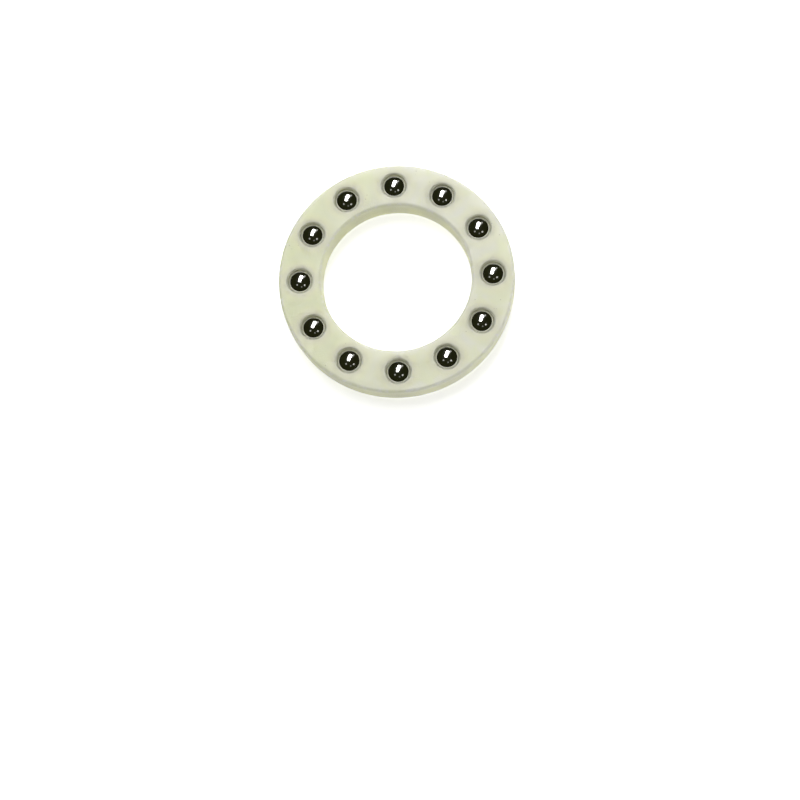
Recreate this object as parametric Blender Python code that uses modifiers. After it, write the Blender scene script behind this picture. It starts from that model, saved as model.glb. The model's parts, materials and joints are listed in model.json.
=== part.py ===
"""Thrust ball bearing: a flat moulded ring, the cage, that holds twelve steel balls in snap-in pockets.

The origin is the centre of the ring, +Z is the bearing's axis, and ball_01 sits on +X.
Lengths are in metres.
"""

import math

import bmesh
import bpy
from mathutils import Euler, Matrix, Vector

# Driving dimensions
BALL_DIAMETER = 0.00635
BALL_COUNT = 12
PITCH_DIAMETER = 0.0377
CAGE_OUTER_DIAMETER = 0.0463
CAGE_BORE_DIAMETER = 0.0293
CAGE_THICKNESS = 0.0053
EDGE_ROUNDING = 0.0006
WALL_DRAFT = math.radians(1.5)

# Ball pockets: a round seat that closes in to a throat narrower than the ball, then a short mouth
# that opens again to the face
POCKET_CLEARANCE = 0.00015
MOUTH_DIAMETER = 0.0052
THROAT_DIAMETER = 0.00475

# Round marks that the mould's ejector pins leave on the lower face, one between each two pockets
PIN_MARK_DIAMETER = 0.0020
PIN_MARK_DEPTH = 0.0001

# Fineness of the round shapes
RING_STEPS = 72
ROUNDING_STEPS = 2
POCKET_STEPS = 20
SEAT_STEPS = 6
MARK_STEPS = 12
BALL_SEGMENTS = 20
BALL_RINGS = 10

# How far a cutter runs out past the face that it cuts
CUTTER_OVERRUN = 0.0005
MERGE_DISTANCE = 0.00001

# Values worked out from the driving dimensions
BALL_RADIUS = BALL_DIAMETER / 2
PITCH_RADIUS = PITCH_DIAMETER / 2
HALF_THICKNESS = CAGE_THICKNESS / 2
SEAT_RADIUS = BALL_RADIUS + POCKET_CLEARANCE
SPACING = math.tau / BALL_COUNT

OBJECT_NAME = "thrust_ball_bearing"


def clear_scene():
    for obj in list(bpy.data.objects):
        bpy.data.objects.remove(obj, do_unlink=True)
    for collection in list(bpy.data.collections):
        bpy.data.collections.remove(collection)


def new_collection(name):
    collection = bpy.data.collections.new(name)
    bpy.context.scene.collection.children.link(collection)
    return collection


def new_material(name, color, roughness, metallic):
    material = bpy.data.materials.new(name)
    material.use_nodes = True
    shader = material.node_tree.nodes["Principled BSDF"]
    shader.inputs["Base Color"].default_value = (*color, 1.0)
    shader.inputs["Roughness"].default_value = roughness
    shader.inputs["Metallic"].default_value = metallic
    material.diffuse_color = (*color, 1.0)
    return material


def nylon():
    """Natural nylon: warm ivory with a green cast, softly shiny."""
    return new_material("nylon", (0.66, 0.67, 0.52), 0.38, 0.0)


def bearing_steel():
    """Lapped ball steel, close to a mirror."""
    return new_material("bearing_steel", (0.58, 0.58, 0.60), 0.06, 1.0)


def arc(center, radius, start, end, steps):
    """Points on an arc in the XZ plane, both ends included; angles are measured from +X."""
    points = []
    for i in range(steps + 1):
        angle = start + (end - start) * i / steps
        points.append((center[0] + radius * math.cos(angle), center[1] + radius * math.sin(angle)))
    return points


def profile_object(name, points, closed, steps):
    """A profile in the XZ plane that a Screw modifier turns about Z."""
    mesh = bpy.data.meshes.new(name)
    bm = bmesh.new()
    verts = [bm.verts.new((x, 0, z)) for x, z in points]
    for first, second in zip(verts, verts[1:]):
        bm.edges.new((first, second))
    if closed:
        bm.edges.new((verts[-1], verts[0]))
    bm.to_mesh(mesh)
    bm.free()
    obj = bpy.data.objects.new(name, mesh)
    screw = obj.modifiers.new("turn", "SCREW")
    screw.axis = "Z"
    screw.angle = math.tau
    screw.steps = steps
    screw.render_steps = steps
    screw.use_merge_vertices = True
    screw.use_smooth_shade = True
    screw.merge_threshold = MERGE_DISTANCE
    return obj


def cage_profile():
    """Section of the ring, clockwise from the top of the bore; the walls lean in from a parting line at z = 0."""
    outer = CAGE_OUTER_DIAMETER / 2
    bore = CAGE_BORE_DIAMETER / 2
    level = HALF_THICKNESS - EDGE_ROUNDING
    lean = level * math.tan(WALL_DRAFT)
    x_out = outer - lean - EDGE_ROUNDING
    x_in = bore + lean + EDGE_ROUNDING
    right = math.pi / 2
    points = arc((x_in, level), EDGE_ROUNDING, math.pi, right, ROUNDING_STEPS)
    points += arc((x_out, level), EDGE_ROUNDING, right, 0, ROUNDING_STEPS)
    points.append((outer, 0))
    points += arc((x_out, -level), EDGE_ROUNDING, 0, -right, ROUNDING_STEPS)
    points += arc((x_in, -level), EDGE_ROUNDING, -right, -math.pi, ROUNDING_STEPS)
    points.append((bore, 0))
    return points


def pocket_profile():
    """Section of the space that one pocket takes out of the ring, top to bottom."""
    mouth = MOUTH_DIAMETER / 2
    throat = THROAT_DIAMETER / 2
    top = HALF_THICKNESS + CUTTER_OVERRUN
    reach = math.acos(throat / SEAT_RADIUS)
    points = [(0, top), (mouth, top), (mouth, HALF_THICKNESS)]
    points += arc((0, 0), SEAT_RADIUS, reach, -reach, SEAT_STEPS)
    points += [(mouth, -HALF_THICKNESS), (mouth, -top), (0, -top)]
    return points


def as_cutter(obj, collection):
    obj.hide_render = True
    obj.display_type = "WIRE"
    collection.objects.link(obj)
    return obj


def on_pitch_circle(angle, height=0.0):
    return Vector((PITCH_RADIUS * math.cos(angle), PITCH_RADIUS * math.sin(angle), height))


def add_pocket_cutters(collection):
    first = profile_object("pocket_cutter", pocket_profile(), False, POCKET_STEPS)
    for i in range(BALL_COUNT):
        cutter = first if i == 0 else first.copy()
        cutter.name = f"pocket_cutter_{i + 1:02d}"
        cutter.location = on_pitch_circle(i * SPACING)
        cutter.rotation_euler = Euler((0, 0, i * SPACING))
        as_cutter(cutter, collection)


def add_mark_cutters(collection):
    mesh = bpy.data.meshes.new("pin_mark_cutter")
    bm = bmesh.new()
    radius = PIN_MARK_DIAMETER / 2
    depth = PIN_MARK_DEPTH + CUTTER_OVERRUN
    bmesh.ops.create_cone(
        bm, cap_ends=True, segments=MARK_STEPS, radius1=radius, radius2=radius, depth=depth
    )
    bm.to_mesh(mesh)
    bm.free()
    middle = -HALF_THICKNESS + PIN_MARK_DEPTH - depth / 2
    for i in range(BALL_COUNT):
        cutter = bpy.data.objects.new(f"pin_mark_cutter_{i + 1:02d}", mesh)
        cutter.location = on_pitch_circle((i + 0.5) * SPACING, middle)
        as_cutter(cutter, collection)


def add_cage(collection, cutters, material):
    cage = profile_object("cage", cage_profile(), True, RING_STEPS)
    cage.data.materials.append(material)
    collection.objects.link(cage)
    cut = cage.modifiers.new("pockets_and_marks", "BOOLEAN")
    cut.operation = "DIFFERENCE"
    cut.operand_type = "COLLECTION"
    cut.collection = cutters
    cut.solver = "EXACT"
    return cage


def ball_mesh(material):
    """A ball with its poles on local X, the axis that it rolls about."""
    mesh = bpy.data.meshes.new("ball")
    bm = bmesh.new()
    poles_on_x = Matrix.Rotation(math.pi / 2, 4, "Y")
    bmesh.ops.create_uvsphere(
        bm, u_segments=BALL_SEGMENTS, v_segments=BALL_RINGS, radius=BALL_RADIUS, matrix=poles_on_x
    )
    bm.to_mesh(mesh)
    bm.free()
    mesh.shade_smooth()
    mesh.materials.append(material)
    return mesh


def add_balls(collection, cage, material):
    mesh = ball_mesh(material)
    for i in range(BALL_COUNT):
        ball = bpy.data.objects.new(f"ball_{i + 1:02d}", mesh)
        ball.location = on_pitch_circle(i * SPACING)
        ball.rotation_euler = Euler((0, 0, i * SPACING))
        ball.parent = cage
        collection.objects.link(ball)


def main():
    clear_scene()
    parts = new_collection(OBJECT_NAME)
    cutters = new_collection("cutters")
    add_pocket_cutters(cutters)
    add_mark_cutters(cutters)
    cage = add_cage(parts, cutters, nylon())
    add_balls(parts, cage, bearing_steel())
    bpy.context.view_layer.update()


main()
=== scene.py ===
"""Looks of the caged ball set: a translucent nylon ring and twelve polished balls on a pale studio floor."""

import json
import math

import bmesh
import bpy
from mathutils import Euler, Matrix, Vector

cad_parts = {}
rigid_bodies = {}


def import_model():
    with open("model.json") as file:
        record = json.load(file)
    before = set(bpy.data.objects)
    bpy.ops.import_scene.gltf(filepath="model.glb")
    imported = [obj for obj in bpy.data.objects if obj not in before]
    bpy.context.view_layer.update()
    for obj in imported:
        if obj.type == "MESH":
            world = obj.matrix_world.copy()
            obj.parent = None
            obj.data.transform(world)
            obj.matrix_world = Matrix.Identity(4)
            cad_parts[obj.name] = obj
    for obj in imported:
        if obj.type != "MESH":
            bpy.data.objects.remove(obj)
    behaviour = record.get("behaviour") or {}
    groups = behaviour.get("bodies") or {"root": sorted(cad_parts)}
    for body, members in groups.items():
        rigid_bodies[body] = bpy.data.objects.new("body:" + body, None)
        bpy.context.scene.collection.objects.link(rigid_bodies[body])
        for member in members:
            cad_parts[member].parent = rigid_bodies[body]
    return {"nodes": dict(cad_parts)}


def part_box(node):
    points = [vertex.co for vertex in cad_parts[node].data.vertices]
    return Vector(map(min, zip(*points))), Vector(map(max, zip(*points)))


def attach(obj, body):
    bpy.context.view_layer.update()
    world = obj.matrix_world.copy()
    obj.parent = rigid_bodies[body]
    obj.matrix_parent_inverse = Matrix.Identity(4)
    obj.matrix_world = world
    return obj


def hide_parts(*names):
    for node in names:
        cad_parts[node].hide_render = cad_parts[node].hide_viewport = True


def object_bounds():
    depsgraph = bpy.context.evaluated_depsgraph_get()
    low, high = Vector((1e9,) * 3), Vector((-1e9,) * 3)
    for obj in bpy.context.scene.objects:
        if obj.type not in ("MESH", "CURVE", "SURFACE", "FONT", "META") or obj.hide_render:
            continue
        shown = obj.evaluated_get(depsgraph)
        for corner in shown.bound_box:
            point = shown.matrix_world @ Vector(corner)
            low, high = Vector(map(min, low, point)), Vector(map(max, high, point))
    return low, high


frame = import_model()
cad_low, cad_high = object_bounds()

MM = 0.001

# ---------------------------------------------------------------- sizes

# Read from the frame
cage_low, cage_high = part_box("cage")
BALLS = sorted(node for node in frame["nodes"] if node.startswith("ball_"))
BALL_COUNT = len(BALLS)
ball_low, ball_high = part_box("ball_01")

OUTER_RADIUS = (cage_high.x - cage_low.x) / 2
HALF_THICKNESS = (cage_high.z - cage_low.z) / 2
BALL_RADIUS = (ball_high.z - ball_low.z) / 2
PITCH_RADIUS = (ball_low.x + ball_high.x) / 2
SPACING = math.tau / BALL_COUNT

# The frame doesn't hold these; all but the fillet and the ridge are the CAD part's own values
BORE_RADIUS = 14.65 * MM
EDGE_ROUNDING = 0.6 * MM
WALL_DRAFT = math.radians(1.5)

MOUTH_RADIUS = 2.6 * MM
THROAT_RADIUS = 2.375 * MM
SEAT_RADIUS = BALL_RADIUS + 0.15 * MM
FACE_FILLET = 0.07 * MM
# The fillet's arc starts just past level and the cutter above it is narrower, so the cutter crosses the
# face steeply and doesn't graze it
FILLET_START = math.radians(97)
CUTTER_TOP = MOUTH_RADIUS + 0.6 * FACE_FILLET

# The mould halves meet at mid height and leave a fine ridge on both walls
RIDGE_HEIGHT = 0.025 * MM
RIDGE_HALF_WIDTH = 0.05 * MM

PIN_MARK_RADIUS = 1.0 * MM
PIN_MARK_DEPTH = 0.10 * MM

# Fineness of the round shapes
RING_STEPS = 288
POCKET_STEPS = 72
MARK_STEPS = 32
EDGE_ARC_STEPS = 10
FILLET_ARC_STEPS = 4
SEAT_ARC_STEPS = 12
BALL_CUTS = 23

# How far a cutter runs out past the face that it cuts, and the bend from which an edge looks sharp
CUTTER_OVERRUN = 0.5 * MM
SHARP_ANGLE = math.radians(35)


# ---------------------------------------------------------------- mesh helpers

def arc(center, radius, start, end, steps):
    """Points (x, z) along an arc, from the start angle to the end angle."""
    return [
        (
            center[0] + radius * math.cos(start + (end - start) * i / steps),
            center[1] + radius * math.sin(start + (end - start) * i / steps),
        )
        for i in range(steps + 1)
    ]


def turned_mesh(name, points, closed, steps):
    """A mesh turned about Z from points (x, z); open profiles start and end on the axis."""
    bm = bmesh.new()
    rings = []
    for x, z in points:
        if x < 1e-9:
            rings.append([bm.verts.new((0, 0, z))])
        else:
            rings.append([
                bm.verts.new((x * math.cos(math.tau * i / steps), x * math.sin(math.tau * i / steps), z))
                for i in range(steps)
            ])
    pairs = list(zip(rings, rings[1:]))
    if closed:
        pairs.append((rings[-1], rings[0]))
    for first, second in pairs:
        for i in range(steps):
            j = (i + 1) % steps
            corners = [
                first[i % len(first)],
                first[j % len(first)],
                second[j % len(second)],
                second[i % len(second)],
            ]
            bm.faces.new(list(dict.fromkeys(corners)))
    bmesh.ops.recalc_face_normals(bm, faces=bm.faces)
    mesh = bpy.data.meshes.new(name)
    bm.to_mesh(mesh)
    bm.free()
    return mesh


def add_object(name, mesh):
    obj = bpy.data.objects.new(name, mesh)
    bpy.context.scene.collection.objects.link(obj)
    return obj


def ridge(radius, inward):
    """The parting ridge on a wall, top to bottom; inward is the sign of the way into the plastic."""
    foot = radius + inward * RIDGE_HEIGHT
    return [(foot, RIDGE_HALF_WIDTH), (radius, 0), (foot, -RIDGE_HALF_WIDTH)]


def cage_profile():
    """The ring's cross-section: drafted walls with a parting ridge, and rounded edges."""
    level = HALF_THICKNESS - EDGE_ROUNDING
    lean = level * math.tan(WALL_DRAFT)
    x_out = OUTER_RADIUS - RIDGE_HEIGHT - lean - EDGE_ROUNDING
    x_in = BORE_RADIUS + RIDGE_HEIGHT + lean + EDGE_ROUNDING
    right = math.pi / 2
    n = EDGE_ARC_STEPS
    points = arc((x_in, level), EDGE_ROUNDING, math.pi, right, n)
    points += arc((x_out, level), EDGE_ROUNDING, right, 0, n)
    points += ridge(OUTER_RADIUS, -1)
    points += arc((x_out, -level), EDGE_ROUNDING, 0, -right, n)
    points += arc((x_in, -level), EDGE_ROUNDING, -right, -math.pi, n)
    points += reversed(ridge(BORE_RADIUS, 1))
    return points


def half_pocket():
    """The pocket's wall from above the face down to the middle."""
    r = FACE_FILLET
    above = HALF_THICKNESS + CUTTER_OVERRUN
    points = [(0, above), (CUTTER_TOP, above)]
    points += arc((MOUTH_RADIUS + r, HALF_THICKNESS - r), r, FILLET_START, math.pi, FILLET_ARC_STEPS)
    reach = math.acos(THROAT_RADIUS / SEAT_RADIUS)
    points += arc((0, 0), SEAT_RADIUS, reach, 0, SEAT_ARC_STEPS)
    return points


def pocket_profile():
    top = half_pocket()
    return top + [(x, -z) for x, z in reversed(top[:-1])]


def mark_profile():
    """An ejector pin's mark, from its flat bottom to below the lower face."""
    bottom = PIN_MARK_DEPTH - HALF_THICKNESS
    below = -HALF_THICKNESS - CUTTER_OVERRUN
    return [(0, bottom), (PIN_MARK_RADIUS, bottom), (PIN_MARK_RADIUS, below), (0, below)]


def on_pitch_circle(angle):
    return (PITCH_RADIUS * math.cos(angle), PITCH_RADIUS * math.sin(angle), 0)


def add_cutters():
    """Pockets and pin marks, in turn, as objects of one collection."""
    cutters = bpy.data.collections.new("cutters")
    pocket = turned_mesh("pocket", pocket_profile(), False, POCKET_STEPS)
    mark = turned_mesh("mark", mark_profile(), False, MARK_STEPS)
    for i in range(BALL_COUNT):
        angle = i * SPACING
        cutter = bpy.data.objects.new(f"pocket_{i}", pocket)
        cutter.location = on_pitch_circle(angle)
        cutter.rotation_euler = Euler((0, 0, angle))
        cutters.objects.link(cutter)
        cutter = bpy.data.objects.new(f"mark_{i}", mark)
        cutter.location = on_pitch_circle(angle + SPACING / 2)
        cutters.objects.link(cutter)
    return cutters


def build_cage():
    cage = add_object("nylon_cage", turned_mesh("nylon_cage", cage_profile(), True, RING_STEPS))
    cutters = add_cutters()
    cut = cage.modifiers.new("cut", "BOOLEAN")
    cut.operation = "DIFFERENCE"
    cut.operand_type = "COLLECTION"
    cut.collection = cutters
    cut.solver = "EXACT"
    depsgraph = bpy.context.evaluated_depsgraph_get()
    mesh = bpy.data.meshes.new_from_object(cage.evaluated_get(depsgraph))
    cage.modifiers.clear()
    cage.data = mesh
    for obj in list(cutters.objects):
        bpy.data.objects.remove(obj)
    bpy.data.collections.remove(cutters)
    mesh.shade_smooth()
    mesh.set_sharp_from_angle(angle=SHARP_ANGLE)
    weight = cage.modifiers.new("weight", "WEIGHTED_NORMAL")
    weight.keep_sharp = True
    return cage


def ball_mesh():
    """A fine ball from a cube whose faces are divided and pushed out to the sphere."""
    bm = bmesh.new()
    bmesh.ops.create_cube(bm, size=2)
    bmesh.ops.subdivide_edges(bm, edges=bm.edges, cuts=BALL_CUTS, use_grid_fill=True)
    for vert in bm.verts:
        x, y, z = (math.tan(c * math.pi / 4) for c in vert.co)
        vert.co = Vector((x, y, z)).normalized() * BALL_RADIUS
    mesh = bpy.data.meshes.new("steel_ball")
    bm.to_mesh(mesh)
    bm.free()
    mesh.shade_smooth()
    return mesh


# ---------------------------------------------------------------- materials

class Graph:
    """Short calls for the nodes of one material."""

    def __init__(self, name):
        self.material = bpy.data.materials.new(name)
        self.material.use_nodes = True
        self.tree = self.material.node_tree
        self.shader = self.tree.nodes["Principled BSDF"]
        self.place = self.add("ShaderNodeTexCoord").outputs["Object"]

    def add(self, kind, **settings):
        node = self.tree.nodes.new(kind)
        for key, value in settings.items():
            setattr(node, key, value)
        return node

    def feed(self, socket, source):
        if isinstance(source, bpy.types.NodeSocket):
            self.tree.links.new(source, socket)
        else:
            socket.default_value = source

    def noise(self, size, detail, distortion=0.0, place=None):
        """Smooth noise from 0 to 1 whose patches are about size metres across."""
        node = self.add("ShaderNodeTexNoise")
        self.feed(node.inputs["Vector"], place or self.place)
        self.feed(node.inputs["Scale"], 1.0 / size)
        self.feed(node.inputs["Detail"], detail)
        self.feed(node.inputs["Distortion"], distortion)
        return node.outputs["Fac"]

    def range(self, value, low, high, to_low=0.0, to_high=1.0, smooth=False):
        """The value's place between low and high, carried over to the span from to_low to to_high."""
        node = self.add("ShaderNodeMapRange", interpolation_type="SMOOTHSTEP" if smooth else "LINEAR")
        for socket, source in zip(node.inputs, (value, low, high, to_low, to_high)):
            self.feed(socket, source)
        return node.outputs["Result"]

    def math(self, operation, first, second=0.0):
        node = self.add("ShaderNodeMath", operation=operation)
        self.feed(node.inputs[0], first)
        self.feed(node.inputs[1], second)
        return node.outputs["Value"]

    def mix(self, factor, first, second):
        """Blend of two colours."""
        node = self.add("ShaderNodeMix", data_type="RGBA")
        self.feed(node.inputs["Factor"], factor)
        sockets = [i for i in node.inputs if i.type == "RGBA"]
        self.feed(sockets[0], first if isinstance(first, bpy.types.NodeSocket) else (*first, 1))
        self.feed(sockets[1], second if isinstance(second, bpy.types.NodeSocket) else (*second, 1))
        return [o for o in node.outputs if o.type == "RGBA"][0]

    def stretched(self, scale):
        """The object's coordinates, stretched so that a texture draws out into streaks."""
        node = self.add("ShaderNodeVectorMath", operation="MULTIPLY")
        self.feed(node.inputs[0], self.place)
        self.feed(node.inputs[1], scale)
        return node.outputs["Vector"]

    def radius(self):
        """Distance from the object's Z axis."""
        node = self.add("ShaderNodeVectorMath", operation="LENGTH")
        self.feed(node.inputs[0], self.stretched((1, 1, 0)))
        return node.outputs["Value"]

    def hairlines(self, size, scale, width):
        """Thin streaks, 1 on the line and 0 off it: where stretched noise crosses its middle value."""
        value = self.noise(size, 2.0, place=self.stretched(scale))
        off = self.math("ABSOLUTE", self.math("SUBTRACT", value, 0.5))
        return self.range(off, 0.0, width, 1.0, 0.0, smooth=True)

    def specks(self, size, spread):
        """Round dots, 1 inside and 0 outside, one at most in each cell of the given spread."""
        node = self.add("ShaderNodeTexVoronoi")
        self.feed(node.inputs["Vector"], self.place)
        self.feed(node.inputs["Scale"], 1.0 / spread)
        away = node.outputs["Distance"]
        return self.range(away, 0.6 * size / spread, size / spread, 1.0, 0.0, smooth=True)

    def bump(self, height, distance, normal=None):
        node = self.add("ShaderNodeBump")
        self.feed(node.inputs["Height"], height)
        self.feed(node.inputs["Distance"], distance)
        self.feed(node.inputs["Strength"], 1.0)
        if normal:
            self.feed(node.inputs["Normal"], normal)
        return node.outputs["Normal"]

    def set(self, socket, source):
        self.feed(self.shader.inputs[socket], source)


IVORY = (0.90, 0.905, 0.745)
GREEN_IVORY = (0.875, 0.90, 0.665)
GREY_IVORY = (0.90, 0.91, 0.765)
# Painted shade: the olive of steep walls in shade
WALL_SHADE_OLIVE = (0.89, 0.89, 0.59)
# Painted shade for the ring's -X side, away from the light
SIDE_SHADE_IVORY = (0.81, 0.845, 0.57)
# Painted light: a paler, yellower tint that lightens the shaded pocket lips
POCKET_LIGHT_IVORY = (0.98, 0.99, 0.63)
SPECK_BROWN = (0.30, 0.26, 0.16)
WORN_WHITE = (0.96, 0.96, 0.89)
PIN_GREEN = (0.78, 0.82, 0.56)
STEEL_DARK = (0.70, 0.70, 0.68)
STEEL_LIGHT = (0.78, 0.775, 0.75)


def spot_distance(g, position, first_angle):
    """Distance from the nearest of the spots spaced evenly on the pitch circle from first_angle."""
    turned = g.math("ARCTAN2", position.outputs["Y"], position.outputs["X"])
    angle = g.math("SUBTRACT", turned, first_angle)
    turns = g.math("ROUND", g.math("DIVIDE", angle, SPACING))
    across = g.math("SUBTRACT", angle, g.math("MULTIPLY", turns, SPACING))
    radius = g.radius()
    product = g.math("MULTIPLY", g.math("MULTIPLY", radius, 2 * PITCH_RADIUS), g.math("COSINE", across))
    squares = g.math("ADD", g.math("MULTIPLY", radius, radius), PITCH_RADIUS ** 2)
    return g.math("SQRT", g.math("SUBTRACT", squares, product))


def pin_marks(g, position):
    """1 on the ejector pins' marks, on the lower face half way between pockets, and 0 elsewhere."""
    away = spot_distance(g, position, SPACING / 2)
    inside = g.range(away, 0.96 * PIN_MARK_RADIUS, 1.04 * PIN_MARK_RADIUS, 1.0, 0.0)
    below = g.range(position.outputs["Z"], 0.3 * MM - HALF_THICKNESS, 0.5 * MM - HALF_THICKNESS, 1.0, 0.0)
    return g.math("MULTIPLY", inside, below)


def melt_and_side_shade_color(g, position):
    """Ivory with clouds and paler patches from the melt, and painted shade: the -X side darker and greener.
    """
    clouds = g.range(g.noise(7 * MM, 2.0), 0.40, 0.62, smooth=True)
    patches = g.range(g.noise(4 * MM, 1.0, distortion=0.6), 0.48, 0.66, smooth=True)
    color = g.mix(clouds, IVORY, GREEN_IVORY)
    color = g.mix(g.math("MULTIPLY", patches, 0.7), color, GREY_IVORY)
    # Painted shade: the -X side is darker and greener, as the light falls from +X
    side_shade = g.range(position.outputs["X"], -OUTER_RADIUS, 0.3 * OUTER_RADIUS, 0.95, 0.0, smooth=True)
    return g.mix(side_shade, color, SIDE_SHADE_IVORY)


def walls(g, height, from_pitch):
    """Painted shade on the outer and bore walls, as an olive tint: weaker close to the faces, and 0 on the
    faces and in the pockets.
    """
    normal = g.add("ShaderNodeSeparateXYZ")
    g.feed(normal.inputs[0], g.tree.nodes["Texture Coordinate"].outputs["Normal"])
    steep = g.range(g.math("ABSOLUTE", normal.outputs["Z"]), 0.2, 0.95, 1.0, 0.0, smooth=True)
    outside = g.range(from_pitch, 3.0 * MM, 3.6 * MM, 0.0, 1.0, smooth=True)
    deep = g.range(height, HALF_THICKNESS - 1.6 * MM, HALF_THICKNESS - 0.6 * MM, 0.8, 0.4, smooth=True)
    return g.math("MULTIPLY", g.math("MULTIPLY", steep, outside), deep)


def rubbed_edges(g, height, from_pitch):
    """Patchy wear along the ring's four edges."""
    edge = g.range(height, HALF_THICKNESS - 0.7 * MM, HALF_THICKNESS - 0.2 * MM, 0.0, 1.0, smooth=True)
    rim = g.math("MULTIPLY", edge, g.range(from_pitch, 3.4 * MM, 3.9 * MM, 0.0, 1.0, smooth=True))
    rubbed = g.range(g.noise(0.8 * MM, 3.0), 0.48, 0.60, 0.0, 0.5, smooth=True)
    return g.math("MULTIPLY", rim, rubbed)


def nylon_color(g, scuffs):
    """The melt's colour with painted side shade, then painted shade on the walls, painted light round the
    pockets, wear, pin marks and dark specks.
    """
    position = g.add("ShaderNodeSeparateXYZ")
    g.feed(position.inputs[0], g.place)
    height = g.math("ABSOLUTE", position.outputs["Z"])
    from_pitch = g.math("ABSOLUTE", g.math("SUBTRACT", g.radius(), PITCH_RADIUS))
    color = melt_and_side_shade_color(g, position)
    # Painted shade: steep walls tinted olive, more so further below the faces
    color = g.mix(walls(g, height, from_pitch), color, WALL_SHADE_OLIVE)
    # Painted light: round the pockets the colour turns paler and yellower, lightening the shaded lips and
    # the face beside them
    pocket_light = g.range(spot_distance(g, position, 0.0), 2.5 * MM, 5.0 * MM, 0.85, 0.0, smooth=True)
    color = g.mix(pocket_light, color, POCKET_LIGHT_IVORY)
    color = g.mix(rubbed_edges(g, height, from_pitch), color, WORN_WHITE)
    color = g.mix(g.math("MULTIPLY", scuffs, 0.35), color, WORN_WHITE)
    color = g.mix(g.math("MULTIPLY", pin_marks(g, position), 0.6), color, PIN_GREEN)
    rare = g.range(g.noise(3 * MM, 1.0), 0.60, 0.66)
    specks = g.math("MULTIPLY", g.specks(0.10 * MM, 0.9 * MM), rare)
    return g.mix(g.math("MULTIPLY", specks, 0.6), color, SPECK_BROWN)


def nylon_material():
    """Natural nylon: translucent, satin, with a fine moulded grain and scuffs from handling."""
    g = Graph("nylon")
    worn = g.range(g.noise(5 * MM, 2.0), 0.45, 0.65, smooth=True)
    long_scuffs = g.hairlines(0.9 * MM, (1.0, 0.12, 1.0), 0.012)
    cross_scuffs = g.hairlines(1.1 * MM, (0.15, 1.0, 1.0), 0.010)
    scuffs = g.math("MULTIPLY", g.math("MAXIMUM", long_scuffs, cross_scuffs), worn)
    g.set("Base Color", nylon_color(g, scuffs))
    satin = g.range(g.noise(1.2 * MM, 4.0), 0.3, 0.7, 0.36, 0.50)
    g.set("Roughness", g.math("ADD", satin, g.math("MULTIPLY", scuffs, 0.20)))
    g.set("IOR", 1.53)
    g.set("Subsurface Weight", 1.0)
    g.set("Subsurface Radius", (1.0, 1.0, 1.0))
    g.set("Subsurface Scale", 2.6 * MM)
    waves = g.bump(g.noise(6 * MM, 1.0), 0.12 * MM)
    grain = g.bump(g.noise(0.25 * MM, 3.0), 0.018 * MM, normal=waves)
    g.set("Normal", g.bump(g.math("SUBTRACT", 1.0, scuffs), 0.020 * MM, normal=grain))
    return g.material


def steel_material():
    """Lapped ball steel: close to a mirror, with hairline scratches and a thin film of oil."""
    g = Graph("bearing_steel")
    film = g.noise(1.6 * MM, 3.0, distortion=1.5)
    scratches = g.math("MAXIMUM", g.hairlines(0.5 * MM, (1.0, 0.1, 1.0), 0.008),
                       g.hairlines(0.6 * MM, (0.2, 1.0, 0.6), 0.006))
    g.set("Base Color", g.mix(film, STEEL_DARK, STEEL_LIGHT))
    polish = g.range(film, 0.35, 0.7, 0.06, 0.11)
    g.set("Roughness", g.math("ADD", polish, g.math("MULTIPLY", scratches, 0.05)))
    g.set("Metallic", 1.0)
    fine = g.bump(g.noise(0.12 * MM, 2.0), 0.0002 * MM)
    g.set("Normal", g.bump(g.math("SUBTRACT", 1.0, scratches), 0.0003 * MM, normal=fine))
    return g.material


# ---------------------------------------------------------------- stage

CAMERA_PLACE = Vector((16.26, -79.77, 259.66)) * MM
CAMERA_TURN = Euler([math.radians(a) for a in (12.027, 3.844, -1.287)])
CAMERA_LENS = 62.1

LIGHT_DISTANCE = 1.5

# Name, azimuth and elevation in degrees, width and height in metres, power in watts, roll in degrees
LIGHTS = [
    ("window", -2.9, 61.5, 0.46, 1.34, 18.8, -21),
    ("side_wall", 100, 6, 1.2, 0.2, 3.0, 0),
    ("curtain", 24.8, 46.3, 0.225, 0.93, 0.4, -10),
    ("left_lamp", -121.3, 60.2, 0.25, 0.25, 0.10, 0),
    ("right_lamp", 124.2, 55.5, 0.25, 0.25, 0.20, 0),
    ("middle_lamp", 168.5, 57.9, 0.22, 0.22, 0.04, 0),
]


def add_camera():
    data = bpy.data.cameras.new("camera")
    data.sensor_width = 36
    data.lens = CAMERA_LENS
    data.clip_start = 0.01
    data.clip_end = 20
    camera = bpy.data.objects.new("camera", data)
    camera.location = CAMERA_PLACE
    camera.rotation_euler = CAMERA_TURN
    bpy.context.scene.collection.objects.link(camera)
    bpy.context.scene.camera = camera


def direction(azimuth, elevation):
    """Azimuth is clockwise from +Y, seen from above."""
    a, e = math.radians(azimuth), math.radians(elevation)
    return Vector((math.sin(a) * math.cos(e), math.cos(a) * math.cos(e), math.sin(e)))


def add_area_light(name, azimuth, elevation, width, height, power, roll):
    """A rectangular lamp aimed at the origin, unseen by the camera but reflected in the balls."""
    data = bpy.data.lights.new(name, "AREA")
    data.shape = "RECTANGLE"
    data.size = width
    data.size_y = height
    data.energy = power
    light = bpy.data.objects.new(name, data)
    light.visible_camera = False
    toward = direction(azimuth, elevation)
    light.location = toward * LIGHT_DISTANCE
    rotation = toward.to_track_quat("Z", "Y") @ Euler((0, 0, math.radians(roll))).to_quaternion()
    light.rotation_euler = rotation.to_euler()
    bpy.context.scene.collection.objects.link(light)


# The world is pale up to BAND_FULL above the horizon and dark from BAND_END, as sines of the elevation
BAND_FULL = 0.03
BAND_END = 0.11
WORLD_PALE = (0.45, 0.45, 0.43, 1)
WORLD_DARK = (0.017, 0.018, 0.006, 1)
WHITE = (1, 1, 1, 1)


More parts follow.
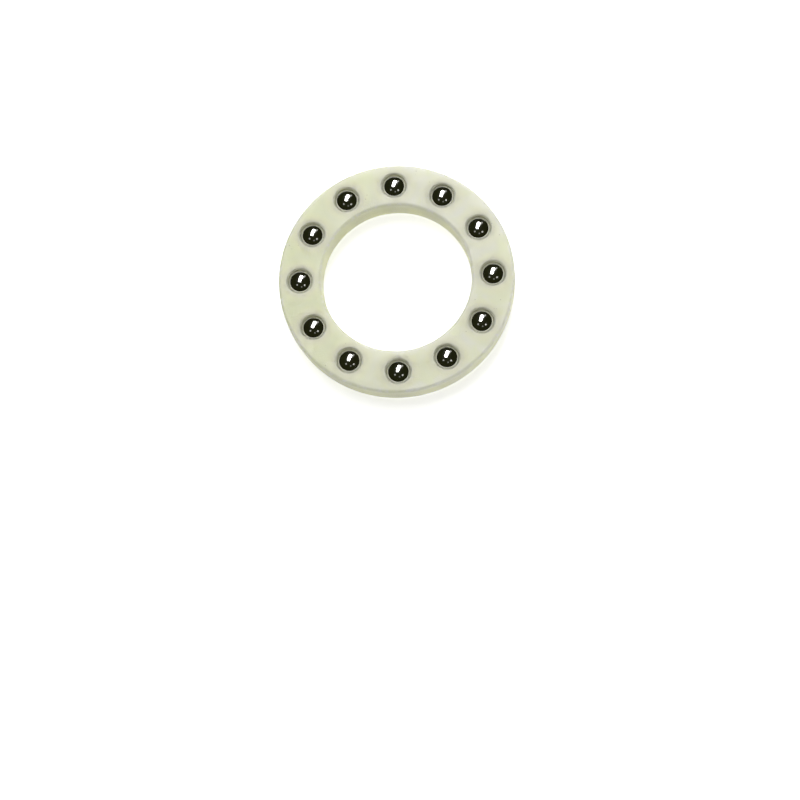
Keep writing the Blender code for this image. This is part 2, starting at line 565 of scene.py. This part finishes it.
def add_world():
    """White to the camera; to everything else, dark overhead and pale low down."""
    world = bpy.data.worlds.new("studio")
    bpy.context.scene.world = world
    world.use_nodes = True
    nodes, links = world.node_tree.nodes, world.node_tree.links
    back = nodes["Background"]
    place = nodes.new("ShaderNodeTexCoord")
    split = nodes.new("ShaderNodeSeparateXYZ")
    low = nodes.new("ShaderNodeMapRange")
    low.inputs["From Min"].default_value = BAND_FULL
    low.inputs["From Max"].default_value = BAND_END
    shade = nodes.new("ShaderNodeMix")
    shade.data_type = "RGBA"
    pale, dark = [socket for socket in shade.inputs if socket.type == "RGBA"]
    pale.default_value = WORLD_PALE
    dark.default_value = WORLD_DARK
    links.new(place.outputs["Generated"], split.inputs[0])
    links.new(split.outputs["Z"], low.inputs["Value"])
    links.new(low.outputs["Result"], shade.inputs["Factor"])
    links.new(next(o for o in shade.outputs if o.type == "RGBA"), back.inputs["Color"])
    seen = nodes.new("ShaderNodeBackground")
    seen.inputs["Color"].default_value = WHITE
    path = nodes.new("ShaderNodeLightPath")
    mix = nodes.new("ShaderNodeMixShader")
    links.new(path.outputs["Is Camera Ray"], mix.inputs["Fac"])
    links.new(back.outputs[0], mix.inputs[1])
    links.new(seen.outputs[0], mix.inputs[2])
    links.new(mix.outputs[0], nodes["World Output"].inputs["Surface"])


# Emission: the object gets FLOOR_BOUNCE; the camera sees FLOOR_WHITE up to FLOOR_NEAR and 1 from FLOOR_FAR
FLOOR_BOUNCE = 0.42
FLOOR_WHITE = 0.65
FLOOR_NEAR = 0.12
FLOOR_FAR = 0.40
FLOOR_HALF_SIZE = 1.5


def add_floor():
    """A plain pale floor that fades to white away from the object."""
    bm = bmesh.new()
    bmesh.ops.create_grid(bm, x_segments=1, y_segments=1, size=FLOOR_HALF_SIZE)
    mesh = bpy.data.meshes.new("floor")
    bm.to_mesh(mesh)
    bm.free()
    floor = add_object("floor", mesh)
    floor.location.z = cad_low.z
    material = bpy.data.materials.new("floor")
    material.use_nodes = True
    shader = material.node_tree.nodes["Principled BSDF"]
    shader.inputs["Base Color"].default_value = (0.9, 0.9, 0.9, 1)
    shader.inputs["Roughness"].default_value = 0.9
    shader.inputs["Specular IOR Level"].default_value = 0.0
    shader.inputs["Emission Color"].default_value = WHITE
    nodes, links = material.node_tree.nodes, material.node_tree.links
    path = nodes.new("ShaderNodeLightPath")
    place = nodes.new("ShaderNodeTexCoord")
    reach = nodes.new("ShaderNodeVectorMath")
    reach.operation = "LENGTH"
    fade = nodes.new("ShaderNodeMapRange")
    fade.inputs["From Min"].default_value = FLOOR_NEAR
    fade.inputs["From Max"].default_value = FLOOR_FAR
    fade.inputs["To Min"].default_value = FLOOR_WHITE
    fade.inputs["To Max"].default_value = 1.0
    glow = nodes.new("ShaderNodeMapRange")
    glow.inputs["To Min"].default_value = FLOOR_BOUNCE
    links.new(place.outputs["Object"], reach.inputs[0])
    links.new(reach.outputs["Value"], fade.inputs["Value"])
    links.new(fade.outputs["Result"], glow.inputs["To Max"])
    links.new(path.outputs["Is Camera Ray"], glow.inputs["Value"])
    links.new(glow.outputs["Result"], shader.inputs["Emission Strength"])
    mesh.materials.append(material)


# ---------------------------------------------------------------- assembly

nylon = nylon_material()
steel = steel_material()
cage = build_cage()
cage.data.materials.clear()
cage.data.materials.append(nylon)
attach(cage, "cage")
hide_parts("cage")

shared = ball_mesh()
shared.materials.append(steel)
for i, node in enumerate(BALLS):
    ball = add_object(f"steel_{node}", shared)
    angle = i * SPACING
    ball.location = on_pitch_circle(angle)
    ball.rotation_euler = Euler((0, 0, angle))
    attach(ball, node)
    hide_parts(node)

add_camera()
add_world()
add_floor()
for light in LIGHTS:
    add_area_light(*light)
bpy.context.scene.view_settings.view_transform = "Standard"
